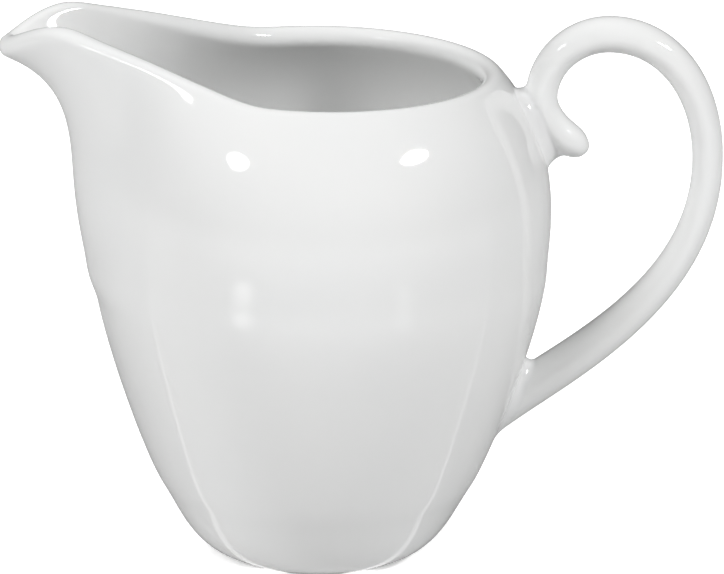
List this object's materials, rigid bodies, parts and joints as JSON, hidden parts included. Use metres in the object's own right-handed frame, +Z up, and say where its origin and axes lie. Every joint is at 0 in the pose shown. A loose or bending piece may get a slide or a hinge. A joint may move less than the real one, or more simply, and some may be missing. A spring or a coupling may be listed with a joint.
{
  "type": "ceramic pitcher",
  "caption": "Small glazed porcelain pitcher with a drawn pouring lip, a tapered round body and a loop handle that ends in a scrolled spur.",
  "frame": {"origin": "on the standing surface, under the middle of the whole pitcher's box, between the lip's nose and the handle's bow; the vessel's own axis is 7.1 mm towards the spout", "axes": "+X towards the handle, with the pouring lip at -X; +Y to the side; +Z up"},
  "size_m": [0.1306, 0.0834, 0.101],
  "materials": {
    "glazed_porcelain": "clear gloss glaze over white hard porcelain",
    "luting_slip": "fired casting slip under the same clear gloss glaze"
  },
  "bodies": {
    "root": {"vessel": "glazed_porcelain", "handle": "glazed_porcelain", "upper_luting": "luting_slip", "lower_luting": "luting_slip"}
  },
  "joints": []
}
